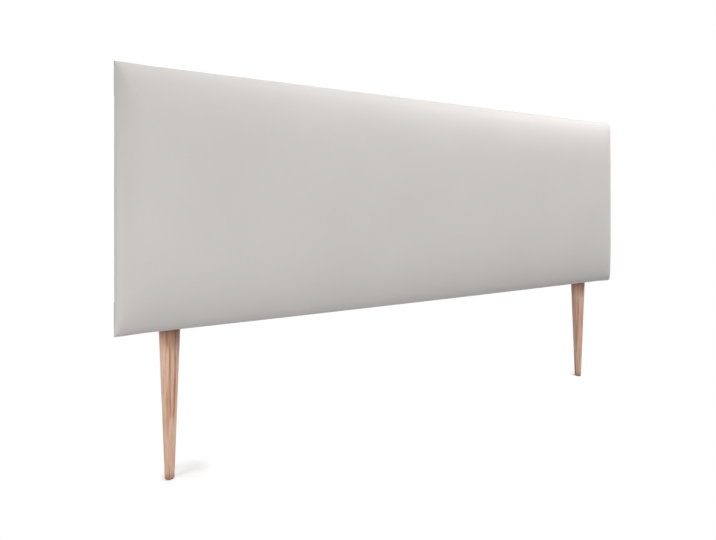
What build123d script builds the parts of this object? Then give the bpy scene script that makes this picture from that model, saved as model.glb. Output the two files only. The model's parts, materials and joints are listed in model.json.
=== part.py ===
# An upholstered headboard: a padded rectangular panel on two turned wooden legs.
# Millimetres, +Z up. The panel's front faces -Y and its back, at +Y, stands against the wall.
# The origin is on the floor, midway along the panel and midway through its thickness.
from build123d import *
from math import cos, pi, sin
import os

# Overall sizes
panel_width = 1400.0
panel_height = 500.0
leg_length = 300.0  # floor to the underside of the panel

# Layers of the panel, from the wall to the front
back_cloth_thickness = 0.5
cover_thickness = 1.0
frame_depth = 40.0
board_thickness = 10.0
foam_thickness = 25.0
wadding_thickness = 7.0
soft_gap = 0.25  # play between one soft layer and the next

# Shape of the padding
crown_width = 130.0  # how far in from a long edge the face has its full height
end_crown_width = 60.0  # the same from each end
crown_fullness = 2.4  # 2 is an ellipse, and more is squarer at the edge
crown_steps = 7
corner_draw = 2.0  # how far the cover pulls each padded corner in
corner_round = 3.0
corner_growth_share = 0.45

# Timber frame
rail_width = 30.0
block_height = 45.0
inner_stile_shares = (-0.25, 0.0, 0.25)  # places along the panel, from its middle

# Cover and back cloth at the back
cover_return = 25.0
back_cloth_inset = 9.0

# Countersunk wood screws that hold the frame together
screw_length = 70.0
screw_diameter = 5.0
screw_core_diameter = 3.4
screw_head_diameter = 9.4
screw_tip_length = 6.0
screw_pitch = 2.5
screw_smooth_length = 25.0
screw_spacing = 16.0  # between the two screws of one joint
block_screw_spacing = 90.0
recess_width = 1.3
recess_span = 4.6
recess_depth = 2.2

# Staples
wire_thickness = 0.7
wire_width = 1.2
staple_crown = 10.0
cover_staple_leg = 8.0
cover_staple_inset = 21.0
cover_staple_pitch = 45.0
cloth_staple_leg = 6.0
cloth_staple_inset = 13.0
cloth_staple_pitch = 90.0
board_staple_leg = 18.0
board_staple_inset = 14.0
board_staple_pitch = 130.0

# Legs and what holds them
leg_inset = 97.0  # end of the panel to the leg's axis
leg_top_diameter = 40.0
leg_foot_diameter = 18.0
leg_foot_round = 3.0
leg_top_round = 1.0
bolt_diameter = 8.0
bolt_core_diameter = 6.6
bolt_pitch = 1.25
bolt_machine_length = 38.0
bolt_tip_chamfer = 1.0
wood_thread_diameter = 7.6
wood_thread_core = 5.4
wood_thread_pitch = 3.0
wood_thread_length = 38.0
wood_thread_tip = 7.0
insert_diameter = 12.0
insert_length = 32.0
insert_flange_diameter = 17.0
insert_flange_thickness = 1.6
insert_rib_pitch = 3.0
insert_rib_depth = 0.6

# Play in holes, and overrun of cuts
hole_play = 0.1
overrun = 2.0

# Where each layer lies
panel_depth = (back_cloth_thickness + cover_thickness + frame_depth + board_thickness
               + foam_thickness + soft_gap + wadding_thickness + soft_gap + cover_thickness)
front_y = -panel_depth / 2
back_y = panel_depth / 2
cloth_front_y = back_y - back_cloth_thickness
frame_back_y = cloth_front_y - cover_thickness
frame_front_y = frame_back_y - frame_depth
frame_mid_y = (frame_back_y + frame_front_y) / 2
board_front_y = frame_front_y - board_thickness
padding_depth = board_front_y - front_y
wadding_offset = cover_thickness + soft_gap
foam_offset = wadding_offset + wadding_thickness + soft_gap

# Where the timber lies
underside_z = leg_length
top_z = underside_z + panel_height
mid_z = (underside_z + top_z) / 2
timber_half_width = panel_width / 2 - cover_thickness
timber_low_z = underside_z + cover_thickness
timber_high_z = top_z - cover_thickness
stile_low_z = timber_low_z + rail_width
stile_high_z = timber_high_z - rail_width
end_stile_x = timber_half_width - rail_width / 2
leg_x = panel_width / 2 - leg_inset
block_half_length = timber_half_width - rail_width - leg_x
stile_places = {
    "left_stile": -end_stile_x,
    "left_inner_stile": inner_stile_shares[0] * panel_width,
    "centre_stile": inner_stile_shares[1] * panel_width,
    "right_inner_stile": inner_stile_shares[2] * panel_width,
    "right_stile": end_stile_x,
}
sides = {"left": -1, "right": 1}


def face_plane(y):
    """A plane across the panel at depth y: local x runs along it, local y runs up."""
    return Plane(origin=(0, y, mid_z), x_dir=(1, 0, 0), z_dir=(0, -1, 0))


def outline(inset, end_inset, draw=0.0):
    """The panel's outline, this far in from its long edges and ends, corners drawn in by `draw`."""
    half_width = panel_width / 2 - end_inset
    half_height = panel_height / 2 - inset
    x = half_width - draw
    z = half_height - draw
    r = min(corner_round + corner_growth_share * end_inset, x, z)
    bend = r * (1 - sin(pi / 4))

    def side(start, middle, end):
        return ThreePointArc(start, middle, end) if draw else Line(start, end)

    edges = [
        side((-x + r, -z), (0, -half_height), (x - r, -z)),
        ThreePointArc((x - r, -z), (x - bend, -z + bend), (x, -z + r)),
        side((x, -z + r), (half_width, 0), (x, z - r)),
        ThreePointArc((x, z - r), (x - bend, z - bend), (x - r, z)),
        side((x - r, z), (0, half_height), (-x + r, z)),
        ThreePointArc((-x + r, z), (-x + bend, z - bend), (-x, z - r)),
        side((-x, z - r), (-half_width, 0), (-x, -z + r)),
        ThreePointArc((-x, -z + r), (-x + bend, -z + bend), (-x + r, -z)),
    ]
    return make_face(edges)


def slab(inset, start_y, end_y):
    """A flat plate with the panel's outline, from start_y forward to end_y."""
    return extrude(face_plane(start_y) * outline(inset, inset), start_y - end_y)


def crown(offset):
    """The padding's full form in front of the board, this far inside the cover's surface."""
    sections = []
    for step in range(crown_steps + 1):
        angle = pi / 2 * step / crown_steps
        width_share = max(cos(angle), 0) ** (2 / crown_fullness)
        depth_share = sin(angle) ** (2 / crown_fullness)
        inset = crown_width - (crown_width - offset) * width_share
        end_inset = end_crown_width - (end_crown_width - offset) * width_share
        y = board_front_y - (padding_depth - offset) * depth_share
        sections.append(face_plane(y) * outline(inset, end_inset, corner_draw if step else 0.0))
    return loft(sections, ruled=True)


def block(x_range, y_range, z_range):
    """A box between three pairs of ends."""
    size = [high - low for low, high in (x_range, y_range, z_range)]
    middle = [(high + low) / 2 for low, high in (x_range, y_range, z_range)]
    return Pos(*middle) * Box(*size)


def rod(diameter, low_z, high_z):
    return Pos(0, 0, (low_z + high_z) / 2) * Cylinder(diameter / 2, high_z - low_z)


def turned(points):
    """A solid of revolution about Z from an outline of (radius, z) points."""
    face = make_face(Polyline(*points, close=True).edges())
    return revolve(Plane.XZ * face, Axis.Z)


def thread_points(crest, core, pitch, start_z, end_z):
    """A thread's outline, drawn as rings one pitch apart, from start_z towards end_z."""
    turns = int(abs(end_z - start_z) / pitch)
    step = pitch if end_z > start_z else -pitch
    points = []
    for turn in range(turns):
        z = start_z + turn * step
        points += [(core / 2, z), (crest / 2, z + step / 2)]
    return points + [(core / 2, start_z + turns * step)]


# Staples

def staple(leg, play=0.0):
    """One staple: crown along X with its outer face at y = 0, legs towards -Y."""
    half = staple_crown / 2 + play
    inner = staple_crown / 2 - wire_thickness - play
    roof = wire_thickness + play
    points = [(-half, 0), (half, 0), (half, -leg - play), (inner, -leg - play),
              (inner, -roof), (-inner, -roof), (-inner, -leg - play), (-half, -leg - play)]
    face = make_face(Polyline(*points, close=True).edges())
    return extrude(face, wire_width / 2 + play, both=True)


def spaced(length, pitch):
    """Even places along a length, about one pitch apart and half a step from its ends."""
    count = max(1, round(length / pitch))
    return [length * ((i + 0.5) / count - 0.5) for i in range(count)]


def edge_places(inset, pitch):
    """Staple places along all four edges: x, z, and the turn that lays the crown along."""
    half_width = panel_width / 2 - inset
    half_height = panel_height / 2 - inset
    places = []
    for x in spaced(2 * half_width, pitch):
        places += [(x, mid_z - half_height, 0), (x, mid_z + half_height, 0)]
    for z in spaced(2 * half_height - 2 * rail_width, pitch):
        places += [(-half_width, mid_z + z, 90), (half_width, mid_z + z, 90)]
    return places


def staples_from_back(places, y, leg, play=0.0):
    one = staple(leg, play)
    return [Pos(x, y, z) * Rot(0, turn, 0) * one for x, z, turn in places]


def staples_from_front(places, y, leg, play=0.0):
    one = Rot(0, 0, 180) * staple(leg, play)
    return [Pos(x, y, z) * Rot(0, turn, 0) * one for x, z, turn in places]


cover_places = edge_places(cover_staple_inset, cover_staple_pitch)
cloth_places = edge_places(cloth_staple_inset, cloth_staple_pitch)
board_places = edge_places(board_staple_inset, board_staple_pitch) + [
    (stile_places[name], mid_z + z, 90)
    for name in ("left_inner_stile", "centre_stile", "right_inner_stile")
    for z in spaced(stile_high_z - stile_low_z, board_staple_pitch)
]
cover_staples = staples_from_back(cover_places, cloth_front_y, cover_staple_leg)
cloth_staples = staples_from_back(cloth_places, back_y, cloth_staple_leg)
board_staples = staples_from_front(board_places, board_front_y, board_staple_leg)
cover_slots = staples_from_back(cover_places, cloth_front_y, cover_staple_leg, hole_play / 2)
cloth_slots = staples_from_back(cloth_places, back_y, cloth_staple_leg, hole_play / 2)
board_slots = staples_from_front(board_places, board_front_y, board_staple_leg, hole_play / 2)


# Frame screws

def screw():
    """A countersunk wood screw, head face up at z = 0, point down."""
    head_depth = (screw_head_diameter - screw_diameter) / 2
    tip_z = -screw_length
    thread_start = -screw_smooth_length
    thread_end = tip_z + screw_tip_length
    points = [(0, 0), (screw_head_diameter / 2, 0), (screw_diameter / 2, -head_depth),
              (screw_diameter / 2, thread_start)]
    points += thread_points(screw_diameter, screw_core_diameter, screw_pitch,
                            thread_start, thread_end)
    body = turned(points + [(0, tip_z)])
    for turn in (0, 90):
        slot = Rot(0, 0, turn) * Box(recess_span, recess_width, 2 * recess_depth)
        body -= slot
    return body


def screw_hole():
    """The hole that a frame screw runs in, countersunk for its head."""
    head_depth = (screw_head_diameter - screw_diameter) / 2
    r = screw_diameter / 2 + hole_play
    mouth = screw_head_diameter / 2 + hole_play
    bottom = -screw_length - hole_play
    return turned([(0, overrun), (mouth, overrun), (mouth, 0), (r, -head_depth),
                   (r, bottom + screw_tip_length), (0, bottom)])


screw_places = []  # x, y, z and the turn that points the screw into the panel
for stile_x in stile_places.values():
    for screw_y in (frame_mid_y - screw_spacing / 2, frame_mid_y + screw_spacing / 2):
        screw_places.append((stile_x, screw_y, timber_high_z, 0))
        screw_places.append((stile_x, screw_y, timber_low_z, 180))
for side in sides.values():
    for shift in (-block_screw_spacing / 2, block_screw_spacing / 2):
        screw_places.append((side * leg_x + shift, frame_mid_y, timber_low_z, 180))


def at_screw_places(one):
    return [Pos(x, y, z) * Rot(turn, 0, 0) * one for x, y, z, turn in screw_places]


frame_screws = at_screw_places(screw())
screw_holes = at_screw_places(screw_hole())


# Legs, hanger bolts and insert nuts, drawn on the Z axis and moved to each leg's place

def leg():
    """A turned, tapered leg with a blind hole for the hanger bolt's wood thread."""
    foot = leg_foot_diameter / 2
    top = leg_top_diameter / 2
    shape = turned([(0, 0), (foot, 0), (top, leg_length), (0, leg_length)])
    rims = shape.edges().filter_by(GeomType.CIRCLE).sort_by(Axis.Z)
    shape = fillet(rims[-1], leg_top_round)
    rims = shape.edges().filter_by(GeomType.CIRCLE).sort_by(Axis.Z)
    shape = fillet(rims[0], leg_foot_round)
    r = wood_thread_diameter / 2 + hole_play
    deep = leg_length - wood_thread_length - hole_play
    return shape - turned([(0, deep), (r, deep + wood_thread_tip),
                           (r, leg_length + overrun), (0, leg_length + overrun)])


def hanger_bolt():
    """A double-ended bolt: machine thread up into the insert, wood thread down into the leg."""
    start = leg_length
    low = start - wood_thread_length
    high = start + bolt_machine_length
    neck = bolt_pitch
    points = [(0, low)]
    points += thread_points(wood_thread_diameter, wood_thread_core, wood_thread_pitch,
                            low + wood_thread_tip, start - neck)
    points += [(wood_thread_diameter / 2, start - neck), (wood_thread_diameter / 2, start),
               (bolt_diameter / 2, start), (bolt_diameter / 2, start + neck)]
    points += thread_points(bolt_diameter, bolt_core_diameter, bolt_pitch,
                            start + neck, high - bolt_tip_chamfer)
    return turned(points + [(bolt_core_diameter / 2 - bolt_tip_chamfer, high), (0, high)])


def insert_nut():
    """A ribbed insert nut with a flange, let in flush with the rail's underside."""
    bore = bolt_diameter / 2 + hole_play
    base = timber_low_z
    shoulder = base + insert_flange_thickness
    points = [(bore, base), (insert_flange_diameter / 2, base),
              (insert_flange_diameter / 2, shoulder)]
    points += thread_points(insert_diameter, insert_diameter - 2 * insert_rib_depth,
                            insert_rib_pitch, shoulder, base + insert_length)
    return turned(points + [(bore, base + insert_length)])


def insert_hole():
    """The stepped hole in the rail and block for the insert nut and the bolt's end."""
    flange = insert_flange_diameter / 2 + hole_play
    body = insert_diameter / 2 + hole_play
    bolt = bolt_diameter / 2 + hole_play
    base = timber_low_z
    shoulder = base + insert_flange_thickness + hole_play
    ledge = base + insert_length + hole_play
    end = leg_length + bolt_machine_length + overrun
    return turned([(0, base - overrun), (flange, base - overrun), (flange, shoulder),
                   (body, shoulder), (body, ledge), (bolt, ledge), (bolt, end), (0, end)])


leg_axis = {name: Pos(side * leg_x, frame_mid_y, 0) for name, side in sides.items()}
insert_holes = [place * insert_hole() for place in leg_axis.values()]


# Timber, with only the holes and slots that reach each piece

def drilled(piece, *groups):
    """Cut a piece with the tools whose boxes meet its own."""
    box = piece.bounding_box()

    def meets(tool):
        other = tool.bounding_box()
        return all(a < d and c < b for a, b, c, d in (
            (box.min.X, box.max.X, other.min.X, other.max.X),
            (box.min.Y, box.max.Y, other.min.Y, other.max.Y),
            (box.min.Z, box.max.Z, other.min.Z, other.max.Z)))

    tools = [tool for group in groups for tool in group if meets(tool)]
    return piece - tools if tools else piece


def timber(piece):
    return drilled(piece, screw_holes, insert_holes, cover_slots, cloth_slots, board_slots)


def rail(low_z, high_z):
    bar = block((-timber_half_width, timber_half_width), (frame_front_y, frame_back_y),
                (low_z, high_z))
    return timber(bar & slab(cover_thickness, frame_back_y, frame_front_y))


def stile(x):
    return timber(block((x - rail_width / 2, x + rail_width / 2),
                        (frame_front_y, frame_back_y), (stile_low_z, stile_high_z)))


def leg_block(side):
    x = side * leg_x
    return timber(block((x - block_half_length, x + block_half_length),
                        (frame_front_y, frame_back_y),
                        (stile_low_z, stile_low_z + block_height)))


# Cover, padding and back cloth

def cover():
    """One skin round the padding and the frame, turned in at the back."""
    outside = slab(0.0, cloth_front_y, board_front_y)
    rim = outside.faces().sort_by(Axis.Y)[-1].edges()
    outside = fillet(rim, cover_thickness) + crown(0.0)
    inside = slab(cover_thickness, frame_back_y, board_front_y) + crown(cover_thickness)
    half_width = panel_width / 2 - cover_return
    half_height = panel_height / 2 - cover_return
    window = block((-half_width, half_width), (frame_back_y - overrun, back_y),
                   (mid_z - half_height, mid_z + half_height))
    bolt_bore = rod(bolt_diameter + 2 * hole_play, underside_z - overrun, timber_low_z + overrun)
    holes = [place * bolt_bore for place in leg_axis.values()]
    return drilled(outside - inside - window, holes, cover_slots, cloth_slots)


def back_cloth():
    half_width = panel_width / 2 - back_cloth_inset
    half_height = panel_height / 2 - back_cloth_inset
    sheet = block((-half_width, half_width), (cloth_front_y, back_y),
                  (mid_z - half_height, mid_z + half_height))
    return drilled(sheet, cloth_slots)


parts = {
    "cover": cover(),
    "wadding": crown(wadding_offset) - crown(wadding_offset + wadding_thickness),
    "foam_pad": crown(foam_offset),
    "front_board": drilled(slab(cover_thickness, frame_front_y, board_front_y), board_slots),
    "top_rail": rail(stile_high_z, timber_high_z),
    "bottom_rail": rail(timber_low_z, stile_low_z),
    "back_cloth": back_cloth(),
    "frame_screws": Compound(frame_screws),
    "board_staples": Compound(board_staples),
    "cover_staples": Compound(cover_staples),
    "back_cloth_staples": Compound(cloth_staples),
}
for name, x in stile_places.items():
    parts[name] = stile(x)
for name, side in sides.items():
    parts[name + "_leg_block"] = leg_block(side)
    parts[name + "_leg"] = leg_axis[name] * leg()
    parts[name + "_hanger_bolt"] = leg_axis[name] * hanger_bolt()
    parts[name + "_insert_nut"] = leg_axis[name] * insert_nut()

os.makedirs("parts", exist_ok=True)
for name, part in parts.items():
    export_step(part, f"parts/{name}.step")
    print(name, len(part.solids()), "solids", round(part.volume), "mm3")
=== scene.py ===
# Upholstered headboard: a padded leatherette panel on two turned beech legs
import json
import math

import bmesh
import bpy
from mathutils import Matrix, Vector, noise


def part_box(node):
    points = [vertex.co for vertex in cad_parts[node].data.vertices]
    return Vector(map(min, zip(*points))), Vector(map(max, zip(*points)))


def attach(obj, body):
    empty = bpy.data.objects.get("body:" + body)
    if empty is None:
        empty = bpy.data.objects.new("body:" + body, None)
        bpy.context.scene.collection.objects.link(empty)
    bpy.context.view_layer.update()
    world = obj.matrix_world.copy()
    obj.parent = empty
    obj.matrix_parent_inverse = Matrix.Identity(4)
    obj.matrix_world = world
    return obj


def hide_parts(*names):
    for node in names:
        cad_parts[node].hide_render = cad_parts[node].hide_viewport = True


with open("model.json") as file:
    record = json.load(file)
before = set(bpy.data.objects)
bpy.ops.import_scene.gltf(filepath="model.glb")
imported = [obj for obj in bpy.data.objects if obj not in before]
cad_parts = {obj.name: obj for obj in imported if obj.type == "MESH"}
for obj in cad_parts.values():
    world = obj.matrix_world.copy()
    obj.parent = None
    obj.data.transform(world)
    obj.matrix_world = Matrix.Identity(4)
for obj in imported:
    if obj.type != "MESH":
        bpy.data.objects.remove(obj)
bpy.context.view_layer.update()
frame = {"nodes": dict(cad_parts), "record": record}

nodes = frame["nodes"]

# Where things are, read off the frame
coverLow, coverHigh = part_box("cover")
clothLow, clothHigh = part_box("back_cloth")
halfWidth = coverHigh.x
halfHeight = (coverHigh.z - coverLow.z) / 2
midZ = (coverHigh.z + coverLow.z) / 2
faceY = coverLow.y       # front of the padded face
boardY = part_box("front_board")[0].y      # front of the board, where the padding starts
rearY = coverHigh.y      # outside of the turned-in cover


def smooth(value, low=0.0, high=1.0):
    share = max(0.0, min(1.0, (value - low) / (high - low)))
    return share * share * (3 - 2 * share)


def wobble(x, y, z, size, seed=0.0):
    # Slow random swell from -1 to 1, about `size` metres across
    return noise.noise(Vector((x / size + seed, y / size - seed, z / size + 2 * seed)))


# Finishes. A size is in cells or streaks to the metre, and a pitch, a reach or a depth is in metres.
# A range or a shade of four numbers turns what lies between its first two into what lies between its
# last two

noiseRange = (0.3, 0.7)      # where most of a noise texture's values lie


def startFinish(name):
    material = bpy.data.materials.new(name)
    material.use_nodes = True
    tree = material.node_tree
    tree.nodes.clear()
    output = tree.nodes.new("ShaderNodeOutputMaterial")
    shader = tree.nodes.new("ShaderNodeBsdfPrincipled")
    tree.links.new(shader.outputs[0], output.inputs[0])
    return material, tree, shader


def place(tree, stretch=(1, 1, 1), turn=(0, 0, 0)):
    # Position on the piece in metres, stretched along the grain
    coordinates = tree.nodes.new("ShaderNodeTexCoord")
    mapping = tree.nodes.new("ShaderNodeMapping")
    mapping.inputs["Scale"].default_value = stretch
    mapping.inputs["Rotation"].default_value = turn
    tree.links.new(coordinates.outputs["Object"], mapping.inputs["Vector"])
    return mapping.outputs[0]


def grain(tree, where, scale, detail=2.0, roughness=0.5, distortion=0.0):
    texture = tree.nodes.new("ShaderNodeTexNoise")
    texture.inputs["Scale"].default_value = scale
    texture.inputs["Detail"].default_value = detail
    texture.inputs["Roughness"].default_value = roughness
    texture.inputs["Distortion"].default_value = distortion
    tree.links.new(where, texture.inputs["Vector"])
    return texture.outputs["Fac"]


def cells(tree, where, scale, feature="F1"):
    texture = tree.nodes.new("ShaderNodeTexVoronoi")
    texture.feature = feature
    texture.inputs["Scale"].default_value = scale
    tree.links.new(where, texture.inputs["Vector"])
    return texture.outputs["Distance"]


def remap(tree, source, fromLow, fromHigh, toLow, toHigh):
    node = tree.nodes.new("ShaderNodeMapRange")
    sockets = ("From Min", "From Max", "To Min", "To Max")
    for socket, value in zip(sockets, (fromLow, fromHigh, toLow, toHigh)):
        node.inputs[socket].default_value = value
    tree.links.new(source, node.inputs["Value"])
    return node.outputs["Result"]


def ramp(tree, source, stops):
    node = tree.nodes.new("ShaderNodeValToRGB")
    elements = node.color_ramp.elements
    while len(elements) < len(stops):
        elements.new(0.5)
    for element, (position, color) in zip(elements, stops):
        element.position = position
        element.color = (*color, 1)
    tree.links.new(source, node.inputs["Fac"])
    return node.outputs["Color"]


def blendColors(tree, share, first, second, mode="MIX"):
    node = tree.nodes.new("ShaderNodeMix")
    node.data_type = "RGBA"
    node.blend_type = mode
    for socket, value in (("Factor", share), ("A", first), ("B", second)):
        target = next(s for s in node.inputs if s.name == socket and s.enabled)
        if isinstance(value, (int, float)):
            target.default_value = value
        elif isinstance(value, tuple):
            target.default_value = (*value, 1)
        else:
            tree.links.new(value, target)
    return next(s for s in node.outputs if s.enabled)


def darken(tree, color, shade):
    return blendColors(tree, 1.0, color, shade, "MULTIPLY")


def addUp(tree, first, second, operation="ADD"):
    # Adds two values, or joins them by another operation
    node = tree.nodes.new("ShaderNodeMath")
    node.operation = operation
    for socket, value in zip(node.inputs, (first, second)):
        if isinstance(value, (int, float)):
            socket.default_value = value
        else:
            tree.links.new(value, socket)
    return node.outputs[0]


def weighted(tree, first, firstShare, second, secondShare):
    firstPart = addUp(tree, first, firstShare, "MULTIPLY")
    secondPart = addUp(tree, second, secondShare, "MULTIPLY")
    return addUp(tree, firstPart, secondPart)


def addBump(tree, shader, height, distance):
    node = tree.nodes.new("ShaderNodeBump")
    node.inputs["Distance"].default_value = distance
    node.inputs["Strength"].default_value = 1.0
    tree.links.new(height, node.inputs["Height"])
    tree.links.new(node.outputs[0], shader.inputs["Normal"])


leatherette = {
    "color": (0.603, 0.572, 0.553),
    "light": (0.622, 0.592, 0.574),
    "patchSize": 5.0,            # of the slow change between the two
    "patchRange": (0.35, 0.65),
    "roughness": (0.50, 0.60),
    "roughSize": 60.0,
    "poreSize": 1100,
    "poreRange": (0.0, 0.7, 0.0, 0.5),
    "creaseSize": 495,
    # painted shade in the grain's creases
    "creaseShade": (0.0, 0.12, 0.94, 1.0),
    "creaseRange": (0.0, 0.1, 0.0, 0.6),
    "grainDepth": 0.00006,
    "specular": 0.35,
    "sheen": 0.05,
}


def leatheretteFinish():
    material, tree, shader = startFinish("leatherette")
    where = place(tree)
    patches = grain(tree, where, leatherette["patchSize"], detail=3.0)
    patches = remap(tree, patches, *leatherette["patchRange"], 0, 1)
    pores = cells(tree, where, leatherette["poreSize"])
    creases = cells(tree, where, leatherette["creaseSize"], "DISTANCE_TO_EDGE")
    color = blendColors(tree, patches, leatherette["color"], leatherette["light"])
    # painted shade: the colour darkens along the grain's creases
    color = darken(tree, color, remap(tree, creases, *leatherette["creaseShade"]))
    tree.links.new(color, shader.inputs["Base Color"])
    rough = grain(tree, where, leatherette["roughSize"], detail=4.0)
    rough = remap(tree, rough, *noiseRange, *leatherette["roughness"])
    tree.links.new(rough, shader.inputs["Roughness"])
    shader.inputs["Specular IOR Level"].default_value = leatherette["specular"]
    shader.inputs["Sheen Weight"].default_value = leatherette["sheen"]
    height = addUp(tree, remap(tree, pores, *leatherette["poreRange"]),
                   remap(tree, creases, *leatherette["creaseRange"]))
    addBump(tree, shader, height, leatherette["grainDepth"])
    return material


beech = {
    "dark": (0.41, 0.20, 0.115),
    "middle": (0.62, 0.355, 0.232),
    "light": (0.80, 0.53, 0.39),
    "stops": (0.39, 0.47, 0.56, 0.66),      # dark, middle, light and middle again
    "streakSize": 230,           # growth streaks, across the grain
    "alongStreaks": 0.012,       # the smaller, the further they are drawn out along the grain
    "streakShare": 0.62,
    "broadSize": 45,
    "alongBroad": 0.12,
    "broadShare": 0.38,
    "fineSize": 900,
    "alongFine": 0.02,
    "fineShade": (0.30, 0.48, 0.80, 1.0),
    "fleckSize": 620,            # the short dark flecks of beech
    "alongFlecks": 0.16,
    "fleckShade": (0.05, 0.22, 0.82, 1.0),
    "roughness": (0.34, 0.46),
    "coat": 0.12,
    "coatRoughness": 0.3,
    "grainDepth": 0.00005,
    "paintedShadeColor": (0.40, 0.29, 0.25),    # painted shade: ambient occlusion darkens the wood close to the floor and under the panel
    "paintedShadeReach": 0.02,
    "paintedShadeRange": (0.5, 0.95),
    "paintedShadeSamples": 8,
    "paintedPanelShadow": (0.38, 0.22, 0.15),     # painted shadow of the panel: darker and browner where the leg goes up under it
    "panelShadowReach": 0.050,
}


def beechFinish():
    material, tree, shader = startFinish("turned beech")
    streaks = grain(tree, place(tree, (1, 1, beech["alongStreaks"])), beech["streakSize"],
                    detail=3.0, roughness=0.55, distortion=0.1)
    fine = grain(tree, place(tree, (1, 1, beech["alongFine"])), beech["fineSize"], roughness=0.6)
    broad = grain(tree, place(tree, (1, 1, beech["alongBroad"])), beech["broadSize"])
    flecks = cells(tree, place(tree, (1, 1, beech["alongFlecks"])), beech["fleckSize"])
    mixed = weighted(tree, streaks, beech["streakShare"], broad, beech["broadShare"])
    tones = (beech["dark"], beech["middle"], beech["light"], beech["middle"])
    color = ramp(tree, mixed, list(zip(beech["stops"], tones)))
    color = darken(tree, color, remap(tree, fine, *beech["fineShade"]))
    color = darken(tree, color, remap(tree, flecks, *beech["fleckShade"]))
    # painted shade where the floor or the panel is close
    color = darken(tree, color, paintedContactShade(tree))
    # painted shadow of the panel on the top of the leg
    color = darken(tree, color, paintedPanelShadow(tree))
    tree.links.new(color, shader.inputs["Base Color"])
    rough = remap(tree, fine, *noiseRange, *beech["roughness"])
    tree.links.new(rough, shader.inputs["Roughness"])
    shader.inputs["Coat Weight"].default_value = beech["coat"]
    shader.inputs["Coat Roughness"].default_value = beech["coatRoughness"]
    addBump(tree, shader, fine, beech["grainDepth"])
    return material


def paintedContactShade(tree):
    # Painted shade: darkens the wood's colour where ambient occlusion finds the floor or the panel close
    # by
    occlusion = tree.nodes.new("ShaderNodeAmbientOcclusion")
    occlusion.samples = beech["paintedShadeSamples"]
    occlusion.inputs["Distance"].default_value = beech["paintedShadeReach"]
    shaded, unshaded = beech["paintedShadeRange"]
    return ramp(tree, occlusion.outputs["AO"], [(shaded, beech["paintedShadeColor"]), (unshaded, (1, 1, 1))])


def paintedPanelShadow(tree):
    # Painted shadow of the panel: the leg's colour darkens towards its top
    top = max(corner[2] for corner in nodes["left_leg"].bound_box)
    height = tree.nodes.new("ShaderNodeSeparateXYZ")
    tree.links.new(place(tree), height.inputs[0])
    toTop = remap(tree, height.outputs["Z"], top - beech["panelShadowReach"], top, 0, 1)
    return ramp(tree, toTop, [(0, (1, 1, 1)), (1, beech["paintedPanelShadow"])])


pine = {
    "dark": (0.56, 0.36, 0.18),
    "light": (0.78, 0.60, 0.37),
    "stops": (0.38, 0.52, 0.58),     # light, dark and light again
    "ringSize": 130,
    "fineSize": 700,
    "alongGrain": 0.03,
    "fineShade": (0.3, 0.5, 0.88, 1.0),
    "roughness": (0.55, 0.7),
    "grainDepth": 0.0001,
}


def pineFinish(name, along):
    # `along` is the axis that the timber's grain follows
    material, tree, shader = startFinish(name)
    stretch = [1.0, 1.0, 1.0]
    stretch["XYZ".index(along)] = pine["alongGrain"]
    where = place(tree, tuple(stretch))
    rings = grain(tree, where, pine["ringSize"], detail=3.0, distortion=0.6)
    fine = grain(tree, where, pine["fineSize"])
    tones = (pine["light"], pine["dark"], pine["light"])
    color = ramp(tree, rings, list(zip(pine["stops"], tones)))
    color = darken(tree, color, remap(tree, fine, *pine["fineShade"]))
    tree.links.new(color, shader.inputs["Base Color"])
    tree.links.new(remap(tree, fine, *noiseRange, *pine["roughness"]), shader.inputs["Roughness"])
    addBump(tree, shader, fine, pine["grainDepth"])
    return material


fibreboard = {
    "dark": (0.32, 0.21, 0.12),
    "light": (0.47, 0.33, 0.20),
    "stops": (0.35, 0.65),
    "fibreSize": 900,
    "roughness": (0.7, 0.85),
    "fibreDepth": 0.0001,
}


def fibreboardFinish():
    material, tree, shader = startFinish("fibreboard")
    fibres = grain(tree, place(tree), fibreboard["fibreSize"], detail=4.0, roughness=0.7)
    tones = (fibreboard["dark"], fibreboard["light"])
    tree.links.new(ramp(tree, fibres, list(zip(fibreboard["stops"], tones))), shader.inputs["Base Color"])
    tree.links.new(remap(tree, fibres, *noiseRange, *fibreboard["roughness"]), shader.inputs["Roughness"])
    addBump(tree, shader, fibres, fibreboard["fibreDepth"])
    return material


foamLook = {
    "dark": (0.66, 0.58, 0.33),
    "light": (0.84, 0.77, 0.52),
    "stops": (0.05, 0.5),
    "bubbleSize": 800,
    "bubbleRange": (0.0, 0.6),
    "roughness": (0.85, 0.95),
    "bubbleDepth": 0.0004,
}


def foamFinish():
    material, tree, shader = startFinish("open-cell foam")
    bubbles = cells(tree, place(tree), foamLook["bubbleSize"])
    tones = (foamLook["dark"], foamLook["light"])
    tree.links.new(ramp(tree, bubbles, list(zip(foamLook["stops"], tones))), shader.inputs["Base Color"])
    rough = remap(tree, bubbles, *foamLook["bubbleRange"], *foamLook["roughness"])
    tree.links.new(rough, shader.inputs["Roughness"])
    addBump(tree, shader, bubbles, foamLook["bubbleDepth"])
    return material


waddingLook = {
    "dark": (0.70, 0.70, 0.68),
    "light": (0.87, 0.87, 0.85),
    "stops": (0.3, 0.65),
    "fibreSize": 420,
    "alongFibres": 0.5,
    "roughness": (0.8, 0.95),
    "sheen": 0.4,
    "fibreDepth": 0.0006,
}


def waddingFinish():
    material, tree, shader = startFinish("fibre wadding")
    where = place(tree, (1, 1, waddingLook["alongFibres"]))
    fibres = grain(tree, where, waddingLook["fibreSize"], detail=5.0, roughness=0.75, distortion=1.5)
    tones = (waddingLook["dark"], waddingLook["light"])
    tree.links.new(ramp(tree, fibres, list(zip(waddingLook["stops"], tones))), shader.inputs["Base Color"])
    tree.links.new(remap(tree, fibres, *noiseRange, *waddingLook["roughness"]), shader.inputs["Roughness"])
    shader.inputs["Sheen Weight"].default_value = waddingLook["sheen"]
    addBump(tree, shader, fibres, waddingLook["fibreDepth"])
    return material


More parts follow.
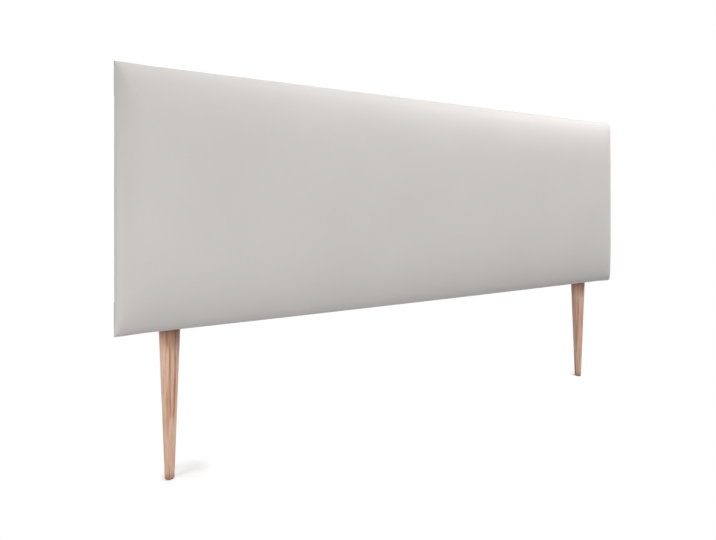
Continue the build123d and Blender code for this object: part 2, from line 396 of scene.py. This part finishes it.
spunbond = {
    "dark": (0.010, 0.010, 0.011),
    "light": (0.034, 0.034, 0.037),
    "stops": (0.35, 0.65),
    "pointPitch": 0.0025,        # of the small welded points of its bonding pattern
    "pointTurn": 45,             # degrees
    "pointFlat": 0.2,
    "pointRange": (0.1, 0.35),
    "fibreSize": 1400,
    "fibreShare": 0.6,
    "cloudSize": 70,
    "cloudShare": 0.4,
    "roughness": (0.45, 0.78),
    "sheen": 0.15,
    "fibreHeight": 0.5,          # beside the points' 1
    "pointDepth": 0.00015,
}


def spunbondFinish():
    # Thin black cloth, slightly cloudy, with welded points all over
    material, tree, shader = startFinish("spunbonded cloth")
    slanted = place(tree, (1, spunbond["pointFlat"], 1), (0, math.radians(spunbond["pointTurn"]), 0))
    points = cells(tree, slanted, 1 / spunbond["pointPitch"])
    fibres = grain(tree, place(tree), spunbond["fibreSize"], detail=3.0, roughness=0.7)
    cloudy = grain(tree, place(tree), spunbond["cloudSize"], detail=3.0, roughness=0.6)
    both = weighted(tree, fibres, spunbond["fibreShare"], cloudy, spunbond["cloudShare"])
    tones = (spunbond["dark"], spunbond["light"])
    tree.links.new(ramp(tree, both, list(zip(spunbond["stops"], tones))), shader.inputs["Base Color"])
    rough = remap(tree, points, *spunbond["pointRange"], *spunbond["roughness"])
    tree.links.new(rough, shader.inputs["Roughness"])
    shader.inputs["Sheen Weight"].default_value = spunbond["sheen"]
    height = addUp(tree, remap(tree, points, *spunbond["pointRange"], 0.0, 1.0),
                   addUp(tree, fibres, spunbond["fibreHeight"], "MULTIPLY"))
    addBump(tree, shader, height, spunbond["pointDepth"])
    return material


metal = {
    "dullShare": 0.82,
    "stops": (0.35, 0.6),
    "smearSize": 90,
    "scratchSize": 2500,
    "alongScratches": 0.1,
    "scratchDepth": 0.00002,
}


def metalFinish(name, color, roughness):
    material, tree, shader = startFinish(name)
    smears = grain(tree, place(tree), metal["smearSize"], detail=4.0, roughness=0.6)
    scratches = grain(tree, place(tree, (1, 1, metal["alongScratches"])), metal["scratchSize"])
    tones = (tuple(metal["dullShare"] * c for c in color), color)
    tree.links.new(ramp(tree, smears, list(zip(metal["stops"], tones))), shader.inputs["Base Color"])
    tree.links.new(remap(tree, smears, *noiseRange, *roughness), shader.inputs["Roughness"])
    shader.inputs["Metallic"].default_value = 1.0
    addBump(tree, shader, scratches, metal["scratchDepth"])
    return material


finishes = {
    "leatherette": leatheretteFinish(),
    "wadding": waddingFinish(),
    "foam": foamFinish(),
    "board": fibreboardFinish(),
    "back_cloth": spunbondFinish(),
    "beech": beechFinish(),
    "zinc_plated_steel": metalFinish("zinc plate", (0.60, 0.61, 0.63), (0.22, 0.42)),
    "staple_wire": metalFinish("galvanised wire", (0.52, 0.52, 0.53), (0.3, 0.5)),
}
pineAlongX = pineFinish("pine rail", "X")
pineUpright = pineFinish("pine upright", "Z")


def dressFrame():
    # Each carried-over node takes the finish of its slot in the record
    for part in frame["record"]["subparts"]:
        node = nodes[part["node"]]
        slotName = part["material_slot"]
        if slotName == "pine":
            low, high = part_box(part["node"])
            finish = pineUpright if high.z - low.z > high.x - low.x else pineAlongX
        else:
            finish = finishes[slotName]
        node.data.materials.clear()
        node.data.materials.append(finish)


dressFrame()
print("finishes: done")


# Meshes for the soft pieces

padding = {
    "crownWidth": 0.130,     # how far in from a long edge the face is flat
    "endCrownWidth": 0.060,  # the same from each end
    "crownFullness": 2.4,
    "leastRise": 0.001,      # keeps a roll's height above nothing where it starts
    "mitreHardness": 4,      # how sharply the rolls of an end and an edge meet at a corner
    "crownRings": 28,
    "cellSize": 0.008,
    "cornerSteps": 6,        # mesh steps on each half of a rounded corner
    "cornerRadius": 0.003,
    "cornerGrowth": 0.45,
    "cornerPull": 0.0016,    # the cover draws each padded corner in
    "cornerReach": 0.045,
    "pullDepth": 0.006,
    "topSwell": 0.0006,      # how far the edges stand out between the corners
    "bottomSwell": 0.0016,
    "endSwell": 0.0005,
    "swellInset": 0.05,
    "edgeSwellShares": (0.7, 0.95),  # it grows between these shares of the way out to a long edge
    "endSwellShares": (0.9, 0.97),   # and between these of the way out to an end
}
cornerSteps = padding["cornerSteps"]
acrossSteps = round(2 * halfWidth / padding["cellSize"]) + 2 * cornerSteps
upSteps = round(2 * halfHeight / padding["cellSize"]) + 2 * cornerSteps


def sidePoint(step, steps, halfAlong, halfOut, radius):
    # A side of the outline runs from the middle of one rounded corner to the middle of the next
    fromEnd = min(step, steps - step)
    sign = -1 if step < steps / 2 else 1
    if fromEnd < cornerSteps:
        angle = math.pi / 4 * (1 - fromEnd / cornerSteps)
        along = halfAlong - radius + radius * math.sin(angle)
        return sign * along, halfOut - radius + radius * math.cos(angle)
    share = (step - cornerSteps) / (steps - 2 * cornerSteps)
    return (halfAlong - radius) * (2 * share - 1), halfOut


def outlineRing(inset, endInset):
    # (x, z) points round the panel, this far in from its long edges and ends, z from the panel's middle
    halfX = halfWidth - endInset
    halfZ = halfHeight - inset
    radius = min(padding["cornerRadius"] + padding["cornerGrowth"] * endInset, halfZ)
    bottom = [sidePoint(step, acrossSteps, halfX, halfZ, radius) for step in range(acrossSteps)]
    side = [sidePoint(step, upSteps, halfZ, halfX, radius) for step in range(upSteps)]
    ring = [(along, -out) for along, out in bottom]
    ring += [(out, along) for along, out in side]
    ring += [(-along, out) for along, out in bottom]
    ring += [(-out, -along) for along, out in side]
    return ring


def eased(x, y, z, inset):
    # The small unevenness of a stretched cover: corners pulled in, edges swelling between them
    toEnd = halfWidth - abs(x)
    toRim = halfHeight - abs(z)
    front = smooth(boardY - y, 0.0, padding["pullDepth"])
    near = math.exp(-((toEnd + toRim) / padding["cornerReach"]) ** 2)
    pull = padding["cornerPull"] * near * front
    rear = smooth(rearY - y, 0.0, rearY - boardY)
    fade = rear * (1 - smooth(inset, 0.0, padding["swellInset"]))
    swellZ = padding["topSwell"] if z > 0 else padding["bottomSwell"]
    nearEdge = smooth(abs(z) / halfHeight, *padding["edgeSwellShares"])
    nearEnd = smooth(abs(x) / halfWidth, *padding["endSwellShares"])
    outZ = swellZ * (1 - (x / halfWidth) ** 2) * fade * nearEdge
    outX = padding["endSwell"] * (1 - (z / halfHeight) ** 2) * fade * nearEnd
    return (x + math.copysign(outX - pull, x), z + math.copysign(outZ - pull, z))


def ringVerts(inset, y):
    points = []
    for x, z in outlineRing(inset, inset):
        x, z = eased(x, y, z, inset)
        points.append(Vector((x, y, midZ + z)))
    return points


def rise(inset, width):
    # How far the padding has risen this far in from an edge: 1 where its face is flat
    toFlat = max(0.0, min(1.0, 1 - inset / width))
    fullness = padding["crownFullness"]
    return max(padding["leastRise"], 1 - toFlat ** fullness) ** (1 / fullness)


def meet(first, second):
    # About the smaller of two rises, but with a soft change from one to the other at the corners
    power = padding["mitreHardness"]
    return (first ** -power + second ** -power - 1) ** (-1 / power)


def crownRings(offset):
    # From the flat face's edge out to the board, `offset` inside the cover's surface
    edgeWidth = padding["crownWidth"] - offset
    endWidth = padding["endCrownWidth"] - offset
    rings = []
    for step in range(padding["crownRings"]):
        angle = math.pi / 2 * (1 - step / padding["crownRings"])
        widthShare = max(math.cos(angle), 0) ** (2 / padding["crownFullness"])
        inset = padding["crownWidth"] - edgeWidth * widthShare
        ring = []
        for x, z in outlineRing(inset, padding["endCrownWidth"] - endWidth * widthShare):
            fromEnd = rise(halfWidth - abs(x) - offset, endWidth)
            fromEdge = rise(halfHeight - abs(z) - offset, edgeWidth)
            y = boardY - (boardY - faceY - offset) * meet(fromEnd, fromEdge)
            x, z = eased(x, y, z, inset)
            ring.append(Vector((x, y, midZ + z)))
        rings.append(ring)
    rings.append(ringVerts(offset, boardY))
    return rings


def fillInside(ring):
    # A grid of points inside a ring, edge points included, as rows from bottom to top
    bottom = ring[0:acrossSteps + 1]
    right = ring[acrossSteps:acrossSteps + upSteps + 1]
    top = (ring[acrossSteps + upSteps:2 * acrossSteps + upSteps + 1])[::-1]
    left = (ring[2 * acrossSteps + upSteps:] + ring[:1])[::-1]
    rows = []
    for j in range(upSteps + 1):
        v = j / upSteps
        row = []
        for i in range(acrossSteps + 1):
            u = i / acrossSteps
            edges = bottom[i] * (1 - v) + top[i] * v + left[j] * (1 - u) + right[j] * u
            low = bottom[0] * (1 - u) + bottom[-1] * u
            high = top[0] * (1 - u) + top[-1] * u
            row.append(edges - (low * (1 - v) + high * v))
        rows.append(row)
    return rows


def addFace(bm, rows, flip=False):
    # Faces over rows of vertices
    for low, high in zip(rows, rows[1:]):
        for a, b, c, d in zip(low, low[1:], high[1:], high):
            bm.faces.new((d, c, b, a) if flip else (a, b, c, d))


def boundaryOf(rows):
    bottom = rows[0][:-1]
    right = [row[-1] for row in rows[:-1]]
    top = rows[-1][:0:-1]
    left = [row[0] for row in rows[:0:-1]]
    return bottom + right + top + left


def gridOf(loop):
    # Rows that hold a loop of vertices round their edge and nothing inside
    rows = [loop[:acrossSteps + 1]]
    for j in range(1, upSteps):
        rows.append([loop[-j]] + [None] * (acrossSteps - 1) + [loop[acrossSteps + j]])
    rows.append(loop[acrossSteps + upSteps:2 * acrossSteps + upSteps + 1][::-1])
    return rows


def addBand(bm, inner, outer):
    for k in range(len(inner)):
        n = (k + 1) % len(inner)
        bm.faces.new((inner[k], outer[k], outer[n], inner[n]))


def ringedMesh(bm, rings, closeBack=False):
    # A face grid inside the first ring, then a band of faces from each ring to the next
    rows = [[bm.verts.new(p) for p in row] for row in fillInside(rings[0])]
    addFace(bm, rows)
    last = boundaryOf(rows)
    for ring in rings[1:]:
        fresh = [bm.verts.new(p) for p in ring]
        addBand(bm, last, fresh)
        last = fresh
    if closeBack:
        rows = gridOf(last)
        for row, places in zip(rows[1:-1], fillInside(rings[-1])[1:-1]):
            row[1:-1] = [bm.verts.new(p) for p in places[1:-1]]
        addFace(bm, rows, flip=True)


def makePiece(name, bm, finish):
    mesh = bpy.data.meshes.new(name)
    bm.normal_update()
    bm.to_mesh(mesh)
    bm.free()
    for polygon in mesh.polygons:
        polygon.use_smooth = True
    mesh.materials.append(finish)
    piece = bpy.data.objects.new(name, mesh)
    bpy.context.scene.collection.objects.link(piece)
    return piece


def thicken(piece, thickness):
    # Inwards from the surface that was drawn
    modifier = piece.modifiers.new("thickness", "SOLIDIFY")
    modifier.thickness = thickness
    modifier.offset = -1.0
    modifier.use_even_offset = True


# Cover

cover = {
    "skin": 0.001,
    "rearRound": 0.0018,     # the skin's bend round the frame's back edge
    "rearSteps": 4,
    "turnIn": 0.025,         # as far as it is turned in behind
    "wallRings": 9,
    "turnInRings": 6,
    "staplePull": 0.00018,   # ripples that the staples behind draw into the walls
    "staplePitch": 0.045,
    "wallReach": 0.002,      # this near the outline, a point behind the board's front is on a wall
    "edgeBand": 0.01,        # this near a long edge, the ripples run along x
    "swellHeight": 0.00025,  # slow unevenness of the padding under the face
    "swellSize": 0.22,
    "swellSeed": 3.7,
    "mitreLift": 0.00015,    # of the lap at each back corner
    "mitreWidth": 0.012,
    "mitreFlatShare": 0.3,   # of its width, after which it slopes off
    "mitreEdge": 0.0012,
    "mitreReachShare": 1.6,  # of the turned-in width
}


def makeCover():
    rings = crownRings(0.0)
    wallEnd = rearY - cover["rearRound"]
    for step in range(1, cover["wallRings"] + 1):
        y = boardY + (wallEnd - boardY) * step / cover["wallRings"]
        rings.append(ringVerts(0.0, y))
    for step in range(1, cover["rearSteps"] + 1):
        angle = math.pi / 2 * step / cover["rearSteps"]
        inset = cover["rearRound"] * (1 - math.cos(angle))
        rings.append(ringVerts(inset, wallEnd + cover["rearRound"] * math.sin(angle)))
    for step in range(1, cover["turnInRings"] + 1):
        inset = cover["rearRound"] + (cover["turnIn"] - cover["rearRound"]) * step / cover["turnInRings"]
        rings.append(ringVerts(inset, rearY))
    bm = bmesh.new()
    ringedMesh(bm, rings)
    for v in bm.verts:
        x, y, z = v.co
        if y > boardY:
            toRear = smooth(y, boardY, rearY)
            along = x if abs(z - midZ) > halfHeight - cover["edgeBand"] else z
            ripple = cover["staplePull"] * toRear * math.cos(2 * math.pi * along / cover["staplePitch"])
            if abs(z - midZ) > halfHeight - cover["wallReach"]:
                v.co.z -= math.copysign(max(ripple, 0), z - midZ)
            elif abs(x) > halfWidth - cover["wallReach"]:
                v.co.x -= math.copysign(max(ripple, 0), x)
            else:
                v.co.y += mitreLift(x, z)
        else:
            v.co.y += cover["swellHeight"] * wobble(x, 0, z, cover["swellSize"], cover["swellSeed"])
    piece = makePiece("coverSkin", bm, finishes["leatherette"])
    settleSkin(piece)
    thicken(piece, cover["skin"])
    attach(piece, "root")
    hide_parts("cover")


def mitreLift(x, z):
    # Where the turned-in skin laps over itself at each back corner, along the diagonal
    toEnd = halfWidth - abs(x)
    toRim = halfHeight - abs(z - midZ)
    across = (toRim - toEnd) / math.sqrt(2)
    if across < 0 or max(toEnd, toRim) > cover["mitreReachShare"] * cover["turnIn"]:
        return 0.0
    up = smooth(across, 0.0, cover["mitreEdge"])
    down = smooth(across, cover["mitreFlatShare"] * cover["mitreWidth"], cover["mitreWidth"])
    return cover["mitreLift"] * up * (1 - down)


settle = {
    "heldFrom": 0.002,       # in front of the board, and all the way behind that
    "quality": 4,
    "mass": 0.3,
    "stretch": 25,           # stiffness against stretching and squeezing
    "shear": 10,
    "bending": 2,
    "pressure": 4.0,         # of the padding on the skin while it settles
    "frames": 16,
    "mostSwell": 0.0015,     # the settled form is scaled down until no point moves further out
    "mostSink": 0.0002,
}


def settleSkin(piece):
    # The skin settles over its padding as cloth, held where it is stapled round the frame
    vertices = piece.data.vertices
    start = [v.co.copy() for v in vertices]
    normals = [v.normal.copy() for v in vertices]
    held = piece.vertex_groups.new(name="held")
    held.add([v.index for v in vertices if v.co.y > boardY - settle["heldFrom"]], 1.0, "REPLACE")
    cloth = piece.modifiers.new("settle", "CLOTH")
    settings = cloth.settings
    settings.quality = settle["quality"]
    settings.mass = settle["mass"]
    settings.tension_stiffness = settle["stretch"]
    settings.compression_stiffness = settle["stretch"]
    settings.shear_stiffness = settle["shear"]
    settings.bending_stiffness = settle["bending"]
    settings.use_pressure = True
    settings.uniform_pressure_force = settle["pressure"]
    settings.vertex_group_mass = "held"
    settings.effector_weights.gravity = 0
    cloth.point_cache.frame_end = settle["frames"]
    for frameNumber in range(1, settle["frames"] + 1):
        bpy.context.scene.frame_set(frameNumber)
    settled = piece.evaluated_get(bpy.context.evaluated_depsgraph_get()).data.vertices
    swells = [(after.co - before).dot(normal) for after, before, normal in zip(settled, start, normals)]
    piece.modifiers.remove(cloth)
    piece.vertex_groups.remove(held)
    bpy.context.scene.frame_set(1)
    share = min(1.0, settle["mostSwell"] / max(swells))
    for v, before, normal, swell in zip(vertices, start, normals, swells):
        v.co = before + normal * max(-settle["mostSink"], share * swell)
    print("cover settled: most", round(1000 * max(swells), 2), "mm before it is scaled to the cap")


makeCover()
print("cover: done")


# Folded corners of the cover, on the panel's ends

pleat = {
    "thickness": 0.0007,
    "mouth": 0.003,          # starts this far in front of the board
    "drop": 0.0022,          # below the corner's rounding
    "slope": 0.95,           # how fast the fold runs down towards the back
    "startWidth": 0.0004,
    "stopShort": 0.0006,     # of the panel's back
    "bow": 0.0012,           # of the folded edge
    "riseWidth": 0.004,      # over which it comes up out of the skin
    "fullWidth": 0.006,      # where the fold is narrower than this, it is also thinner
    "lift": 0.00005,         # of its outside off the panel's end
    "tuck": 0.0006,          # of its inside into the skin
    "lengthSteps": 24,
    "dropSteps": 14,
}


def makePleat(name, end, rim):
    # end is -1 or 1 for the left or right end, and rim is -1 or 1 for the bottom or top edge
    startY = boardY - pleat["mouth"]
    stopY = rearY - pleat["stopShort"]
    outer = []
    under = []
    for i in range(pleat["lengthSteps"] + 1):
        y = startY + (stopY - startY) * i / pleat["lengthSteps"]
        run = pleat["slope"] * (y - startY) + pleat["startWidth"]
        bow = pleat["bow"] * math.sin(math.pi * i / pleat["lengthSteps"])
        outerRow = []
        underRow = []
        for j in range(pleat["dropSteps"] + 1):
            share = j / pleat["dropSteps"]
            z = midZ + rim * (halfHeight - pleat["drop"] - share * (run + bow))
            fromFold = (1 - share) * run
            lip = math.sqrt(max(0.0, 1 - (1 - min(1.0, fromFold / pleat["thickness"])) ** 2))
            up = smooth(share * run, 0.0, pleat["riseWidth"]) * lip * min(1.0, run / pleat["fullWidth"])
            outX = halfWidth + pleat["lift"] + pleat["thickness"] * up
            outerRow.append(Vector((end * outX, y, z)))
            underRow.append(Vector((end * (halfWidth - pleat["tuck"]), y, z)))
        outer.append(outerRow)
        under.append(underRow)
    bm = bmesh.new()
    flip = end * rim > 0
    outerRows = [[bm.verts.new(p) for p in row] for row in outer]
    underRows = [[bm.verts.new(p) for p in row] for row in under]
    addFace(bm, outerRows, flip)
    addFace(bm, underRows, not flip)
    rimOuter = boundaryOf(outerRows)
    rimUnder = boundaryOf(underRows)
    for k in range(len(rimOuter)):
        n = (k + 1) % len(rimOuter)
        quad = (rimOuter[k], rimUnder[k], rimUnder[n], rimOuter[n])
        bm.faces.new(quad[::-1] if flip else quad)
    piece = makePiece(name, bm, finishes["leatherette"])
    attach(piece, "root")


for endName, end in (("Left", -1), ("Right", 1)):
    for rimName, rim in (("Lower", -1), ("Upper", 1)):
        makePleat(f"cornerFold{endName}{rimName}", end, rim)
print("corner folds: done")


# Padding under the cover

wadding = {
    "offset": 0.0016,
    "thickness": 0.0062,
    "fluff": 0.0003,
    "fluffSize": 0.018,
    "fluffSeed": 1.3,
    "fluffReach": 0.01,      # it fades out over this on the way back to the board
}
foam = {
    "offset": 0.0092,
    "handCut": 0.0004,
    "cutSize": 0.06,
    "cutSeed": 5.1,
    "cutFrom": 0.001,        # in front of the board
}


def makeWadding():
    bm = bmesh.new()
    ringedMesh(bm, crownRings(wadding["offset"]))
    for v in bm.verts:
        fluff = wobble(*v.co, wadding["fluffSize"], wadding["fluffSeed"])
        fade = smooth(boardY - v.co.y, 0.0, wadding["fluffReach"])
        v.co.y += wadding["fluff"] * (0.5 + 0.5 * fluff) * fade
    piece = makePiece("waddingLayer", bm, finishes["wadding"])
    thicken(piece, wadding["thickness"])
    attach(piece, "root")
    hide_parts("wadding")


def makeFoam():
    bm = bmesh.new()
    ringedMesh(bm, crownRings(foam["offset"]), closeBack=True)
    for v in bm.verts:
        if v.co.y < boardY - foam["cutFrom"]:
            v.co.y += foam["handCut"] * (0.5 + 0.5 * wobble(*v.co, foam["cutSize"], foam["cutSeed"]))
    piece = makePiece("foamSlab", bm, finishes["foam"])
    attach(piece, "root")
    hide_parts("foam_pad")


makeWadding()
makeFoam()
print("padding: done")


# Cloth over the back

backCloth = {
    "thickness": 0.00035,
    "cellSize": 0.004,
    "lift": 0.0001,          # of its edges out from the solid cloth
    "highest": 0.0006,       # and of any point
    "hem": 0.012,            # turned under all round
    "hemLift": 0.0003,
    "hemEdge": 0.002,
    "stepDown": 0.0006,      # where it leaves the turned-in cover
    "stepReach": (0.0155, 0.024),
    "stepCorner": (0.05, 0.08),      # but not at the corners
    "staplePitch": 0.090,
    "stapleInset": 0.004,    # from the cloth's edge
    "stapleReach": 0.005,    # half its crown, which lies along the edge
    "dimpleDepth": 0.0006,
    "dimpleSize": 0.0035,
    "sag": 0.0012,           # into the open bays between the timbers
    "sagReach": (0.004, 0.07),
    "sagWobble": 0.0004,
    "sagWobbleSize": 0.09,
    "sagSeed": 7.7,
    "puckerHeight": 0.0005,
    "puckers": 5,            # round each staple
    "puckerTurn": 40,        # turns them differently at each staple
    "puckerSize": 0.02,
    "puckerStart": (0.003, 0.012),
    "puckerEnd": 0.09,
    "edgeWander": 0.0006,    # of its hand-folded edges to the left and right
    "wanderSize": 0.05,
    "wanderSeed": 2.2,
    "wanderPlane": 3.0,
    "wanderReach": 0.01,
}


def spreadPlaces(length, pitch):
    count = max(1, round(length / pitch))
    return [length * ((i + 0.5) / count - 0.5) for i in range(count)]


def clothStaples():
    # Where each staple's crown lies, and how far it reaches along x and z
    low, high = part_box("back_cloth_staples")
    stapleX = (high.x + low.x) / 2
    halfX = clothHigh.x - backCloth["stapleInset"]
    halfZ = (clothHigh.z - clothLow.z) / 2 - backCloth["stapleInset"]
    reach = backCloth["stapleReach"]
    places = []
    for x in spreadPlaces(2 * halfX, backCloth["staplePitch"]):
        places += [(stapleX + x, -halfZ, reach, 0), (stapleX + x, halfZ, reach, 0)]
    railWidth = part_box("top_rail")[1].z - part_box("top_rail")[0].z
    for z in spreadPlaces(2 * halfZ - 2 * railWidth, backCloth["staplePitch"]):
        places += [(-halfX, z, 0, reach), (halfX, z, 0, reach)]
    return places


def offTimber(x, z, timbers):
    # Distance to the nearest timber behind the cloth, z from the panel's middle
    distances = []
    for low, high in timbers:
        offX = max(low.x - x, 0, x - high.x)
        offZ = max(low.z - midZ - z, 0, z - high.z + midZ)
        distances.append(math.hypot(offX, offZ))
    return min(distances)


def stapleMarks(x, z, staples):
    # How far the staples dimple the cloth here, and pucker it round them
    change = 0.0
    for stapleX, stapleZ, reachX, reachZ in staples:
        dx, dz = x - stapleX, z - stapleZ
        dx -= max(-reachX, min(reachX, dx))
        dz -= max(-reachZ, min(reachZ, dz))
        far = math.hypot(dx, dz)
        if far < backCloth["puckerEnd"]:
            change -= backCloth["dimpleDepth"] * math.exp(-(far / backCloth["dimpleSize"]) ** 2)
            turned = backCloth["puckers"] * math.atan2(dz, dx) + backCloth["puckerTurn"] * stapleX
            fan = 0.5 + 0.5 * math.cos(turned)
            fade = math.exp(-far / backCloth["puckerSize"]) * smooth(far, *backCloth["puckerStart"])
            change += backCloth["puckerHeight"] * fan * fade
    return change


def clothPoint(x, z, halfX, halfZ, timbers, staples):
    toEdge = min(halfX - abs(x), halfZ - abs(z))
    toCorner = halfX - abs(x) + halfZ - abs(z)
    openness = smooth(offTimber(x, z, timbers), *backCloth["sagReach"])
    pastHem = smooth(toEdge, backCloth["hem"], backCloth["hem"] + backCloth["hemEdge"])
    pastCover = smooth(toEdge, *backCloth["stepReach"]) * smooth(toCorner, *backCloth["stepCorner"])
    y = clothHigh.y + backCloth["lift"] - backCloth["hemLift"] * pastHem
    y -= backCloth["stepDown"] * pastCover
    y -= backCloth["sag"] * openness
    slack = wobble(x, 0, z, backCloth["sagWobbleSize"], backCloth["sagSeed"])
    y += backCloth["sagWobble"] * openness * slack
    y = min(y + stapleMarks(x, z, staples), clothHigh.y + backCloth["highest"])
    wander = wobble(x, backCloth["wanderPlane"], z, backCloth["wanderSize"], backCloth["wanderSeed"])
    x += backCloth["edgeWander"] * wander * (1 - smooth(toEdge, 0.0, backCloth["wanderReach"]))
    return (x, y, midZ + z)


def makeBackCloth():
    halfX = clothHigh.x
    halfZ = (clothHigh.z - clothLow.z) / 2
    staples = clothStaples()
    timbers = [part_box(name) for name in nodes if name.endswith(("_rail", "_stile", "_leg_block"))]
    across = round(2 * halfX / backCloth["cellSize"])
    up = round(2 * halfZ / backCloth["cellSize"])
    bm = bmesh.new()
    rows = []
    for j in range(up + 1):
        z = halfZ * (2 * j / up - 1)
        row = []
        for i in range(across + 1):
            x = halfX * (2 * i / across - 1)
            row.append(bm.verts.new(clothPoint(x, z, halfX, halfZ, timbers, staples)))
        rows.append(row)
    addFace(bm, rows, flip=True)
    piece = makePiece("backClothSheet", bm, finishes["back_cloth"])
    thicken(piece, backCloth["thickness"])
    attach(piece, "root")
    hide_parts("back_cloth")


makeBackCloth()
print("back cloth: done")


# Floor, light and camera

studio = {
    "floorSize": 14.0,
    "floorCells": 8,
    "floorColor": (0.42, 0.42, 0.42),   # as the light meets it
    "nearColor": (1.26, 1.26, 1.26),    # as the eye sees it beside the feet, where their shadows fall
    "shadowPlace": (0.034, 0.006, 0),   # the middle of a foot's shadow, from the foot
    "nearReach": (0.030, 0.052),        # from there, over which it turns plain white
    "worldStrength": 0.0,
}


def whiteToEye(tree):
    # 1 for the rays that should meet a white background
    rays = tree.nodes.new("ShaderNodeLightPath")
    shine = addUp(tree, rays.outputs["Is Camera Ray"], rays.outputs["Is Glossy Ray"], "MAXIMUM")
    return addUp(tree, shine, rays.outputs["Is Transmission Ray"], "MAXIMUM")


def mixShaders(tree, share, first, second):
    node = tree.nodes.new("ShaderNodeMixShader")
    tree.links.new(share, node.inputs[0])
    tree.links.new(first, node.inputs[1])
    tree.links.new(second, node.inputs[2])
    return node.outputs[0]


def fromShadows(tree):
    # Distance on the floor to the nearer foot's shadow
    where = place(tree)
    spans = []
    for leg in ("left_leg", "right_leg"):
        low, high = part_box(leg)
        span = tree.nodes.new("ShaderNodeVectorMath")
        span.operation = "DISTANCE"
        foot = Vector(((low.x + high.x) / 2, (low.y + high.y) / 2, 0))
        span.inputs[1].default_value = foot + Vector(studio["shadowPlace"])
        tree.links.new(where, span.inputs[0])
        spans.append(span.outputs["Value"])
    return addUp(tree, *spans, "MINIMUM")


def floorFinish():
    material, tree, shader = startFinish("studio floor")
    tree.nodes.remove(shader)
    output = next(node for node in tree.nodes if node.type == "OUTPUT_MATERIAL")
    plain = tree.nodes.new("ShaderNodeBsdfDiffuse")
    plain.inputs["Color"].default_value = (*studio["floorColor"], 1)
    near = tree.nodes.new("ShaderNodeBsdfDiffuse")
    near.inputs["Color"].default_value = (*studio["nearColor"], 1)
    white = tree.nodes.new("ShaderNodeEmission")
    away = remap(tree, fromShadows(tree), *studio["nearReach"], 0, 1)
    seen = mixShaders(tree, away, near.outputs[0], white.outputs[0])
    clear = tree.nodes.new("ShaderNodeBsdfTransparent")      # from below, the eye looks through it
    side = tree.nodes.new("ShaderNodeNewGeometry")
    seen = mixShaders(tree, side.outputs["Backfacing"], seen, clear.outputs[0])
    tree.links.new(mixShaders(tree, whiteToEye(tree), plain.outputs[0], seen), output.inputs[0])
    return material


def makeFloor():
    bm = bmesh.new()
    cellsAcross = studio["floorCells"]
    bmesh.ops.create_grid(bm, x_segments=cellsAcross, y_segments=cellsAcross, size=studio["floorSize"] / 2)
    floor = makePiece("studioFloor", bm, floorFinish())


def makeWorld():
    world = bpy.data.worlds.new("studio")
    world.use_nodes = True
    tree = world.node_tree
    background = tree.nodes["Background"]
    strength = remap(tree, whiteToEye(tree), 0, 1, studio["worldStrength"], 1.0)
    tree.links.new(strength, background.inputs["Strength"])
    background.inputs["Color"].default_value = (1, 1, 1, 1)
    bpy.context.scene.world = world


lamps = {
    # name: where it stands, what it faces, width and height, power
    "frontSoftbox": ((-0.68, -1.88, 0.57), (0.0, 0.0, 0.5), (1.2, 1.0), 14.2),
    "keySoftbox": ((0.6, -0.8, 2.2), (0.36, 0.0, 0.6), (1.2, 0.8), 13.0),
    "overheadSoftbox": ((-0.35, -0.15, 2.3), (-0.3, 0.0, 0.6), (1.4, 0.7), 12.0),
    "leftSoftbox": ((-1.97, -0.35, 0.47), (0.0, 0.0, 0.45), (0.8, 0.8), 6.3),
    "leftLowSoftbox": ((-1.8, -0.6, 0.3), (-0.5, 0.0, 0.45), (0.6, 0.4), 3.6),
    "rightSoftbox": ((2.0, -1.2, 2.3), (0.5, 0.0, 0.6), (1.2, 1.0), 47.0),
    "rearSoftbox": ((0.5, 2.4, 1.8), (0.0, 0.0, 0.5), (2.4, 1.2), 20.0),
}


def makeLamps():
    for name, (where, target, size, power) in lamps.items():
        light = bpy.data.lights.new(name, "AREA")
        light.shape = "RECTANGLE"
        light.size, light.size_y = size
        light.energy = power
        lamp = bpy.data.objects.new(name, light)
        lamp.location = where
        lamp.rotation_euler = (Vector(target) - Vector(where)).to_track_quat("-Z", "Y").to_euler()
        bpy.context.scene.collection.objects.link(lamp)


camera = {
    "place": (-0.7058, -0.9745, 0.5383),
    "turn": 27.71,           # degrees towards the right
    "focalPixels": 470.7,
    "frameWidth": 716,
    "frameHeight": 540,
    "horizonRow": 205.4,
    "sensor": 36.0,
}


def makeCamera():
    data = bpy.data.cameras.new("camera")
    data.sensor_width = camera["sensor"]
    data.lens = camera["focalPixels"] / camera["frameWidth"] * camera["sensor"]
    data.shift_y = (camera["horizonRow"] - camera["frameHeight"] / 2) / camera["frameWidth"]
    view = bpy.data.objects.new("camera", data)
    view.location = camera["place"]
    view.rotation_euler = (math.radians(90), 0, -math.radians(camera["turn"]))
    bpy.context.scene.collection.objects.link(view)
    bpy.context.scene.camera = view


makeFloor()
makeWorld()
makeLamps()
makeCamera()
bpy.context.scene.view_settings.view_transform = "Standard"
print("studio: done")

bpy.context.view_layer.update()
